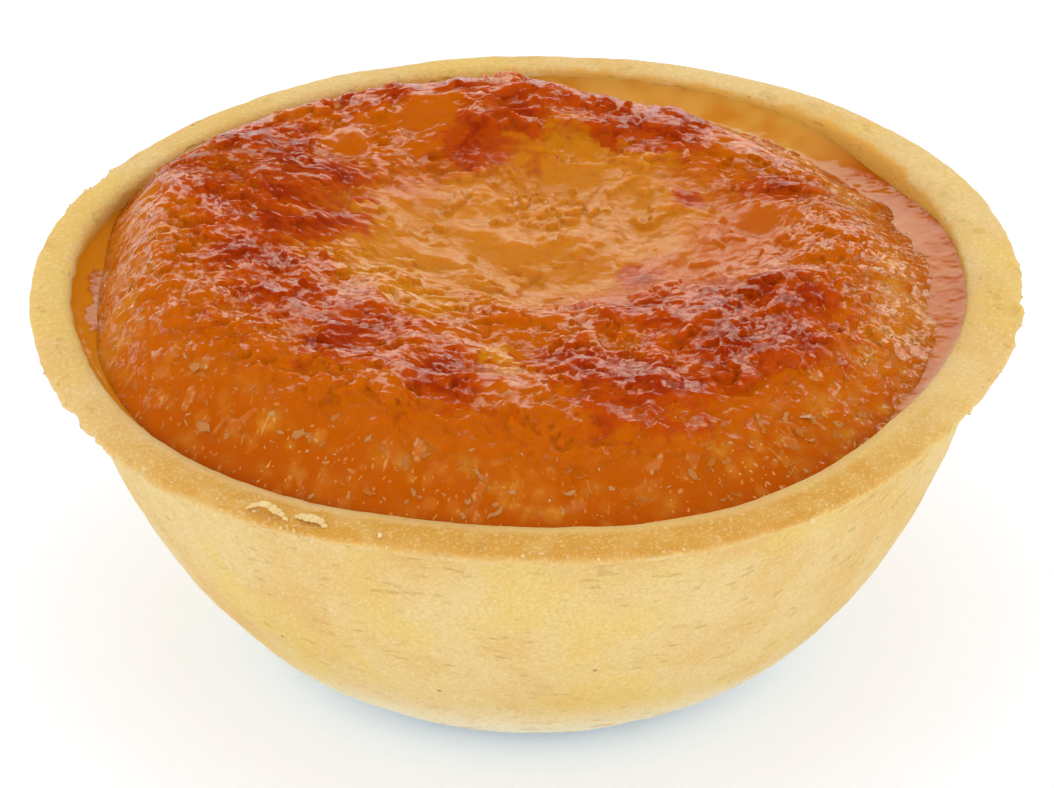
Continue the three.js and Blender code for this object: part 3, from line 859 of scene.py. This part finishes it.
# Each bit lies along its heading, raised and leaned a little, and is ragged on both sides.
spots = top_spot(np.concatenate((fleck_x, chip_x, thread_x)), np.concatenate((fleck_y, chip_y, thread_y)))
bits_count = len(spots)
is_thread = np.arange(bits_count) >= fleck_count + chip_count
heading = np.concatenate((fleck_heading, chip_heading, thread_heading))
half_length = np.concatenate((fleck_length, chip_length, thread_length))[:, None]
half_width = np.concatenate((fleck_width, chip_width, thread_width))[:, None]
out = pulp_out[spots]
middle = top_points[spots] + out * draw.uniform(-0.035, 0.0, bits_count)[:, None]
pitch = draw.normal(0, 0.08, bits_count)[:, None]
roll = draw.normal(0, 0.2, bits_count)[:, None]
sweep = np.where(is_thread, draw.normal(0, 0.3, bits_count), 0)[:, None]
along = np.stack((np.cos(heading), np.sin(heading), np.zeros(bits_count)), axis=-1)
along = along - out * np.sum(along * out, axis=-1, keepdims=True)
along /= np.linalg.norm(along, axis=-1, keepdims=True)
aside = np.cross(out, along)
raised = along * np.cos(pitch) + out * np.sin(pitch)
out = out * np.cos(pitch) - along * np.sin(pitch)
leaned = aside * np.cos(roll) + out * np.sin(roll)
out = out * np.cos(roll) - aside * np.sin(roll)
t = np.linspace(-1, 1, BIT_STATIONS) + np.zeros((bits_count, 1))
t[:, 1:-1] += draw.uniform(-0.5, 0.5, (bits_count, BIT_STATIONS - 2)) / BIT_STATIONS
taper = half_width * (0.12 + 0.88 * np.sqrt(np.maximum(1 - np.abs(t) ** 2.2, 0)))
left = -taper * draw.uniform(0.5, 1.3, t.shape)
right = taper * draw.uniform(0.5, 1.3, t.shape)
across = np.stack((left, 0.3 * (left + right), right), axis=-1) + (sweep * (t**2 - 0.4))[..., None]
lift = BIT_ARCH * np.array((0.0, 1.0, 0.0)) + draw.normal(0, 0.02, across.shape)
half_thick = 0.5 * BIT_THICKNESS * np.array((0.5, 1.0, 0.5)) * np.ones_like(across)
rise = np.stack((lift + half_thick, lift - half_thick), axis=-1)
bits_points = middle[:, None, None] + raised[:, None, None] * (half_length * t)[..., None, None]
bits_points = bits_points + leaned[:, None, None] * across[..., None]
bits_points = bits_points[..., None, :] + out[:, None, None, None] * rise[..., None]
spot = np.arange(BIT_STATIONS * 6).reshape(BIT_STATIONS, 3, 2)
bit_faces = []
for k in range(BIT_STATIONS - 1):
    for v in range(2):
        bit_faces.append((spot[k, v, 0], spot[k + 1, v, 0], spot[k + 1, v + 1, 0], spot[k, v + 1, 0]))
        bit_faces.append((spot[k, v, 1], spot[k, v + 1, 1], spot[k + 1, v + 1, 1], spot[k + 1, v, 1]))
    bit_faces.append((spot[k, 2, 0], spot[k + 1, 2, 0], spot[k + 1, 2, 1], spot[k, 2, 1]))
    bit_faces.append((spot[k, 0, 0], spot[k, 0, 1], spot[k + 1, 0, 1], spot[k + 1, 0, 0]))
for v in range(2):
    bit_faces.append((spot[0, v, 0], spot[0, v + 1, 0], spot[0, v + 1, 1], spot[0, v, 1]))
    bit_faces.append((spot[-1, v, 0], spot[-1, v, 1], spot[-1, v + 1, 1], spot[-1, v + 1, 0]))
bit_faces = np.array(bit_faces) + spot.size * np.arange(bits_count)[:, None, None]
bits = skinned("pale_pulp_bits", bits_points.reshape(-1, 3), bit_faces.reshape(-1, 4).tolist())
bits.data.set_sharp_from_angle(angle=math.radians(50))
bits_pale = draw.uniform(0, 1, bits_count) ** 1.8
bits_pale[:fleck_count] *= np.where(tiny, 1.0, 0.5)
bits_pale[fleck_count:fleck_count + chip_count] = draw.uniform(0.0, 0.36, chip_count)
tinted(bits, "pale", np.repeat(bits_pale, spot.size))
pale_bit = blank("pale_pulp_bit")
tree = pale_bit.node_tree
covered(bits, pale_bit, {
    "Base Color": layered((0.57, 0.145, 0.012), ((tint("pale"), (0.74, 0.42, 0.17)),)),
    "Roughness": 0.25,
    "IOR": 1.45,
    "Subsurface Weight": 0.35,
    "Subsurface Radius": (1.0, 0.5, 0.2),
    "Subsurface Scale": 0.0006,
})
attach(bits, "root")

# Rim crumbs
# Loose crumbs and two lifted shreds of pastry at the rim's broken outer edge. They are pale, because they
# come from inside the dough, and stick to the rim where it broke.
CRUMB_COUNT = 170
BALL_CORNERS = 12
draw = np.random.default_rng(23)
golden_mean = (1 + math.sqrt(5)) / 2
ball = []
for first in (-1, 1):
    for second in (-golden_mean, golden_mean):
        ball += [(0, first, second), (first, second, 0), (second, 0, first)]
ball = np.array(ball) / math.hypot(1, golden_mean)
ball_faces = []
for a in range(BALL_CORNERS):
    for b in range(a + 1, BALL_CORNERS):
        for c in range(b + 1, BALL_CORNERS):
            sides = [np.linalg.norm(ball[i] - ball[j]) for i, j in ((a, b), (b, c), (a, c))]
            if max(sides) < 1.2:
                outward = np.dot(np.cross(ball[b] - ball[a], ball[c] - ball[a]), ball[a]) > 0
                ball_faces.append((a, b, c) if outward else (a, c, b))
arc_weights = np.array([spread * depth for _, spread, depth in ROUGH_ARCS])
arcs = draw.choice(len(ROUGH_ARCS), CRUMB_COUNT, p=arc_weights / arc_weights.sum())
crumb_degrees = np.array([ROUGH_ARCS[arc][0] + draw.normal(0, 0.8) * ROUGH_ARCS[arc][1] for arc in arcs])
front_crumbs = draw.random(CRUMB_COUNT) < 0.35
crumb_degrees = np.where(front_crumbs, draw.uniform(225, 315, CRUMB_COUNT), crumb_degrees)
crumb_segment = np.round(crumb_degrees / 360 * SHELL_SEGMENTS).astype(int) % SHELL_SEGMENTS
crumb_ring = profile_outermost + np.round(draw.normal(1, 2.2, CRUMB_COUNT)).astype(int)
crumb_size = draw.gamma(2.5, 0.032, CRUMB_COUNT) + 0.04
crumb_middle = shell[crumb_ring, crumb_segment]
crumb_shape = ball * draw.uniform(0.65, 1.25, (CRUMB_COUNT, BALL_CORNERS, 1))
crumb_shape = crumb_shape * draw.uniform(0.6, 1.3, (CRUMB_COUNT, 1, 3))
crumb_points = (crumb_middle[:, None] + crumb_size[:, None, None] * crumb_shape).reshape(-1, 3)
crumb_faces = np.array(ball_faces) + BALL_CORNERS * np.arange(CRUMB_COUNT)[:, None, None]
crumb_faces = crumb_faces.reshape(-1, 3).tolist()

# Each shred: where it starts and ends round the rim, how far in from the edge it lies, how far it arches,
# and half its width.
SHREDS = ((234.1, 239.4, 0.7, 0.8, 0.3), (240.4, 244.6, 1.0, 0.2, 0.36))
SHRED_STATIONS = 21
SHRED_HALF_THICKNESS = 0.035
shred_points = []
shred_quads = []
for start, end, inset, arch, half_width in SHREDS:
    t = np.linspace(0, 1, SHRED_STATIONS)[:, None]
    spine = []
    for share in t[:, 0]:
        segment = np.argmin(np.abs(turn - math.radians(start + (end - start) * share)))
        column = shell[:, segment]
        reach = np.hypot(column[:, 0], column[:, 1])
        under = column[:, 2] < column[profile_outermost, 2]
        spine.append(column[np.argmin(np.abs(reach - reach.max() + inset) + 99 * under)])
    spine = np.array(spine) + np.array((0, 0, 1)) * (0.05 + 4 * arch * t * (1 - t))
    peak = spine[SHRED_STATIONS // 2]
    inwards = -np.array((peak[0], peak[1], 0.0)) / math.hypot(peak[0], peak[1])
    reach = half_width * (0.35 + np.sqrt(np.maximum(1 - (2 * t - 1) ** 2, 0)))
    near_side = spine - inwards * reach * draw.uniform(0.45, 1.1, t.shape)
    far_side = spine + inwards * reach * draw.uniform(0.45, 1.1, t.shape) + (0, 0, 0.1)
    base = len(crumb_points) + 4 * SHRED_STATIONS * len(shred_points)
    thick = np.array((0, 0, SHRED_HALF_THICKNESS))
    corners = (near_side + thick, far_side + thick, far_side - thick, near_side - thick)
    shred_points.append(np.stack(corners, axis=1).reshape(-1, 3))
    for station in range(SHRED_STATIONS - 1):
        for side in range(4):
            at = base + 4 * station
            shred_quads.append((at + side, at + 4 + side, at + 4 + (side + 1) % 4, at + (side + 1) % 4))
    shred_quads.append((base + 3, base + 2, base + 1, base))
    tip = base + 4 * (SHRED_STATIONS - 1)
    shred_quads.append((tip, tip + 1, tip + 2, tip + 3))
shred_points = np.vstack(shred_points)
crumbs = skinned("rim_crumbs", np.vstack((crumb_points, shred_points)), crumb_faces + shred_quads)
crumbs.data.set_sharp_from_angle(angle=math.radians(50))
crumb_tone = np.repeat(draw.random(CRUMB_COUNT), BALL_CORNERS)
shred_tone = draw.uniform(0.25, 0.85, len(shred_points))
tinted(crumbs, "tone", np.concatenate((crumb_tone, shred_tone)))
loose_crumb = blank("loose_crumb")
tree = loose_crumb.node_tree
place = put("TexCoord", {}, output=3)
covered(crumbs, loose_crumb, {
    "Base Color": layered((0.72, 0.45, 0.13), ((tint("tone"), (0.86, 0.69, 0.36)),)),
    "Roughness": 0.85,
    "Specular IOR Level": 0.25,
    "Normal": put("Bump", {"Strength": 0.5, "Distance": 0.0001, "Height": mottle(place, 3200, 2.0)}),
})
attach(crumbs, "root")

# Syrup ring
# Clear orange syrup that ran out of the pulp and stands in the narrow moat between the dome and the pastry.
# It lies smooth, climbs where it wets the wall and the fruit, and stands highest at the left and the right.
SYRUP_TURNS = 480
SYRUP_STEPS = 22
SYRUP_DEPTH = 0.7
syrup_turn = np.arange(SYRUP_TURNS) * 2 * math.pi / SYRUP_TURNS
thin = ease(np.sin(syrup_turn), 0.6, 0.82)
clinging = 0.35 + 0.35 * ease(-np.cos(syrup_turn), 0.3, 0.8) + 0.9 * thin
syrup_outer = hollow_reach(syrup_turn, SYRUP_LEVEL) + 0.25 + 0.3 * (clinging + syrup_rise(syrup_turn))
search = np.linspace(0, 12, 600)[:, None]
search_height = pulp_height(*round_hollow(syrup_outer - search, syrup_turn))
syrup_height = SYRUP_LEVEL + syrup_rise(syrup_turn)
shore = syrup_outer - search[np.argmax(search_height > syrup_height, axis=0), 0]
syrup_inner = np.minimum(shore - 1.3, syrup_outer - 1.5)
across_share = np.linspace(0, 1, SYRUP_STEPS)[:, None]
syrup_radius = syrup_inner + (syrup_outer - syrup_inner) * across_share
to_wall = syrup_outer - syrup_radius
to_shore = np.abs(syrup_radius - shore)
syrup_top = syrup_height + clinging * np.exp(-to_wall / clinging) + 0.12 * np.exp(-to_shore / 0.4)
syrup_x, syrup_y = round_hollow(syrup_radius, syrup_turn)
syrup_upper = np.stack((syrup_x, syrup_y, syrup_top), axis=-1)
syrup_lower = np.stack((syrup_x, syrup_y, np.full_like(syrup_x, SYRUP_LEVEL - SYRUP_DEPTH)), axis=-1)[::-1]
syrup_rows = np.concatenate((syrup_upper, syrup_lower))
syrup_faces = []
syrup_here = np.arange(SYRUP_TURNS)
syrup_ahead = np.roll(syrup_here, -1)
for row in range(len(syrup_rows)):
    this = row * SYRUP_TURNS
    following = (row + 1) % len(syrup_rows) * SYRUP_TURNS
    syrup_faces += joined(
        this + syrup_here, following + syrup_here, following + syrup_ahead, this + syrup_ahead
    )
syrup = skinned("orange_syrup_moat", syrup_rows.reshape(-1, 3), syrup_faces)
tinted(syrup, "thin", np.tile(thin, len(syrup_rows)))
# On the left, away from a ragged band across the middle of the moat and along the wall, the syrup's shading
# is tilted to the front and its orange is painted lighter: painted light.
ragged_way = 0.7 * swell(syrup_upper, 0.9, 71) + 0.5 * swell(syrup_upper, 2.2, 72)
off_patch = ease(np.abs(syrup_y - 1.2) + 1.5 * ragged_way, 4.5, 5.5)
by_wall = 1 - ease(to_wall - 0.3 * clinging + 0.6 * ragged_way, 1.0, 1.3)
lean_and_painted_light = np.maximum(off_patch, by_wall) * ease(-np.cos(syrup_turn), 0.5, 0.7)
tinted(syrup, "lean_and_painted_light", np.concatenate((lean_and_painted_light, lean_and_painted_light[::-1])).ravel())
clear_syrup = blank("clear_orange_syrup")
tree = clear_syrup.node_tree
place = put("TexCoord", {}, output=3)
drift = eased(mottle(place, 260, 2.0), 0.35, 0.65)
film_colour = layered((0.69, 0.27, 0.02), ((drift, (0.78, 0.4, 0.07)),))
syrup_colour = layered((0.48, 0.092, 0.001), (
    (drift, (0.52, 0.12, 0.002)),
    (times(tint("thin"), 0.8), film_colour),
    # painted light: lighter orange on the left
    (times(tint("lean_and_painted_light"), 0.8), (0.72, 0.24, 0.008)),
))
ripples = put("Bump", {"Strength": 1.0, "Distance": 0.0002, "Height": mottle(place, 450, 2.0)})
ripples = vectors("ADD", ripples, vectors("MULTIPLY", (0.0, -0.2, 0.0), tint("lean_and_painted_light")))
covered(syrup, clear_syrup, {
    "Base Color": syrup_colour,
    "Roughness": 0.08,
    "IOR": 1.45,
    "Subsurface Weight": 0.3,
    "Subsurface Radius": (1.0, 0.35, 0.1),
    "Subsurface Scale": 0.0015,
    "Normal": vectors("NORMALIZE", ripples),
})
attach(syrup, "root")
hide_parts("syrup_ring")

# Table and light
# A wide white table under soft, even studio light from all sides. Its top glows faintly blue, a painted
# light that keeps it white beside the tartlet. What shines in wet surfaces is one low white screen
# behind the tartlet, and the room in front and overhead is dim.
TABLE_REACH = 6
SCREEN_LIGHT = 1.95
DIM_LIGHT = 0.01
LOW_LIGHT = 1.42
OVERHEAD_LIGHT = 0.97
table_corners = [(TABLE_REACH * x, TABLE_REACH * y, 0) for x, y in ((-1, -1), (1, -1), (1, 1), (-1, 1))]
table_mesh = bpy.data.meshes.new("pale_table")
table_mesh.from_pydata(table_corners, [], [(0, 1, 2, 3)])
table = bpy.data.objects.new("pale_table", table_mesh)
bpy.context.scene.collection.objects.link(table)
table_top = blank("pale_table_top")
tree = table_top.node_tree
covered(table, table_top, {
    "Base Color": (0.97, 0.985, 1.0, 1),
    "Roughness": 0.9,
    "Emission Color": (0.25, 0.5, 1.0, 1),
    "Emission Strength": 0.17,
})

studio = bpy.data.worlds.new("studio")
studio.use_nodes = True
bpy.context.scene.world = studio
tree = studio.node_tree
tree.nodes.clear()
direction = put("SeparateXYZ", {"Vector": put("TexCoord", {})}).node.outputs
to_side = sums("ABSOLUTE", direction[0], 0.0)
screen_share = times(eased(direction[1], 0.1, 0.4), eased(direction[2], 0.48, 0.67, 1.0, 0.0))
screen_share = times(screen_share, eased(to_side, 0.3, 0.55, 1.0, 0.0))
reflected = put("MapRange", {"Value": screen_share, "To Min": DIM_LIGHT, "To Max": SCREEN_LIGHT})
all_round = put("MapRange", {"Value": direction[2], "To Min": LOW_LIGHT, "To Max": OVERHEAD_LIGHT})
in_gloss = put("LightPath", {}, output=3)
brightness = put("Mix", {0: in_gloss, 2: all_round, 3: reflected}, data_type="FLOAT")
tone = layered((1, 1, 1), ((in_gloss, (1, 1, 0.86)),))
put("OutputWorld", {"Surface": put("Background", {"Color": tone, "Strength": brightness})})
studio.cycles.sampling_method = "NONE"
bpy.context.scene.view_settings.view_transform = "Standard"

# Camera
# It looks down at the tartlet from the front, about 31 degrees above level, from far off.
ELEVATION = math.radians(31.04)
CAMERA_DISTANCE = 2062.5
CAMERA_LENS = 921.9
AIM_ASIDE = -0.49
AIM_BELOW = 7.454
camera = bpy.data.cameras.new("camera")
camera.sensor_width = 36
camera.lens = CAMERA_LENS
camera.clip_end = 20
viewpoint = bpy.data.objects.new("camera", camera)
bpy.context.scene.collection.objects.link(viewpoint)
forward = Vector((0, math.cos(ELEVATION), -math.sin(ELEVATION)))
upward = Vector((0, math.sin(ELEVATION), math.cos(ELEVATION)))
aim = Vector((AIM_ASIDE, 0, SHELL_HEIGHT)) - AIM_BELOW * upward
viewpoint.location = (aim - forward * CAMERA_DISTANCE) * MM
viewpoint.rotation_euler = (math.pi / 2 - ELEVATION, 0, 0)
bpy.context.scene.camera = viewpoint
